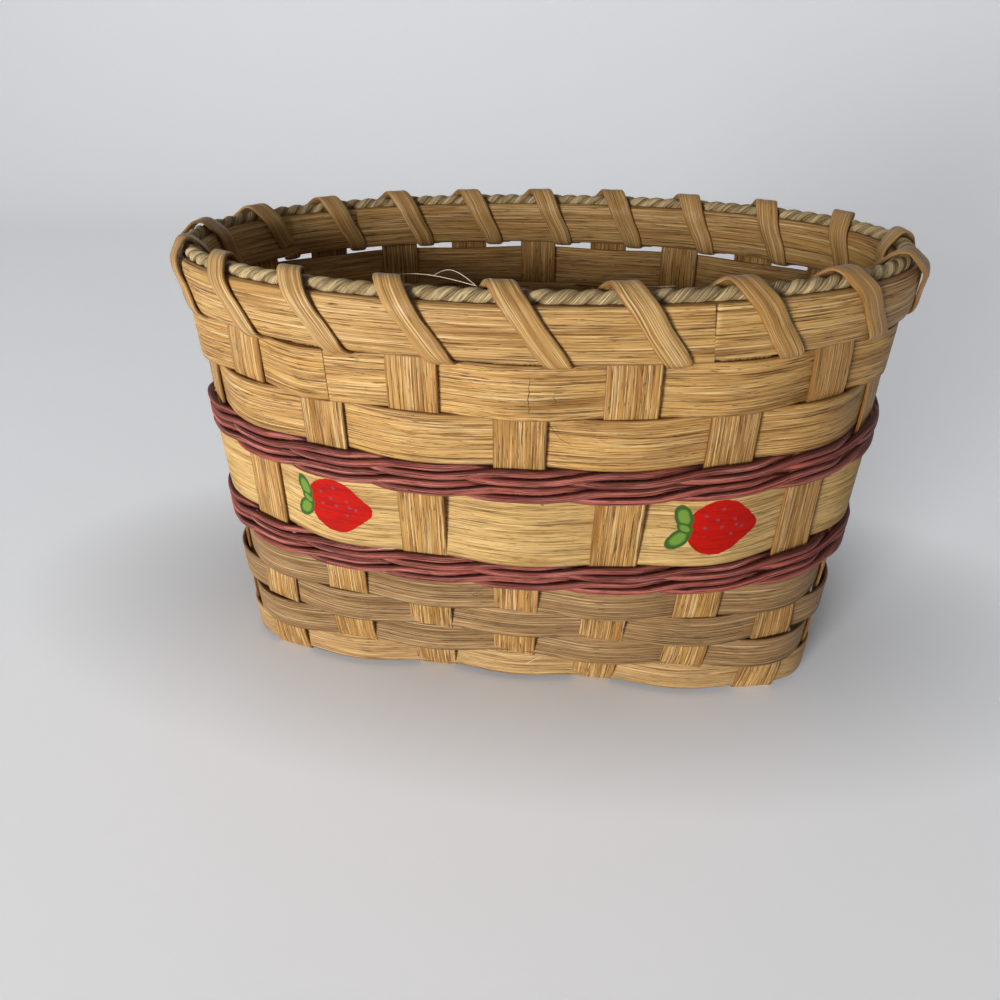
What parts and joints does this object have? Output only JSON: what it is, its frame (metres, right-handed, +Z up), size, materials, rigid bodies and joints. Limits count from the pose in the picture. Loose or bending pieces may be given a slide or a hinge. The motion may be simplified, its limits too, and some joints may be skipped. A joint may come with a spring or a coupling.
{
  "type": "berry basket",
  "caption": "Small woven reed basket with a rectangular base opening to an oval lashed rim, twined bands and painted strawberries; no handle.",
  "frame": {"origin": "underside of the middle stake at the middle of the base, on the surface the basket stands on", "axes": "+X along the length, +Y from the front long side to the back, +Z up"},
  "size_m": [0.2592, 0.1648, 0.161],
  "materials": {
    "stake_reed": "dull",
    "pale_reed": "dull",
    "smoked_reed": "dull",
    "painted_reed": "dull",
    "natural_reed": "dull",
    "rim_reed": "dull",
    "lashing_reed": "dull",
    "dyed_rod": "dull",
    "sea_rope": "dull"
  },
  "bodies": {
    "root": {"stake_cross_1": "stake_reed", "stake_cross_2": "stake_reed", "stake_cross_3": "stake_reed", "stake_cross_4": "stake_reed", "stake_cross_5": "stake_reed", "stake_cross_6": "stake_reed", "stake_cross_7": "stake_reed", "stake_long_1": "stake_reed", "stake_long_2": "stake_reed", "stake_long_3": "stake_reed", "row_1": "pale_reed", "row_2": "smoked_reed", "row_3": "smoked_reed", "row_4": "smoked_reed", "row_painted": "painted_reed", "row_5": "natural_reed", "row_6": "natural_reed", "row_rim": "natural_reed", "twine_lower_1": "dyed_rod", "twine_lower_2": "dyed_rod", "twine_lower_3": "dyed_rod", "twine_lower_4": "dyed_rod", "twine_lower_5": "dyed_rod", "twine_lower_6": "dyed_rod", "twine_upper_1": "dyed_rod", "twine_upper_2": "dyed_rod", "twine_upper_3": "dyed_rod", "twine_upper_4": "dyed_rod", "twine_upper_5": "dyed_rod", "twine_upper_6": "dyed_rod", "rim_hoop_outer": "rim_reed", "rim_hoop_inner": "rim_reed", "rim_rope": "sea_rope", "rim_lashing": "lashing_reed"}
  },
  "joints": []
}
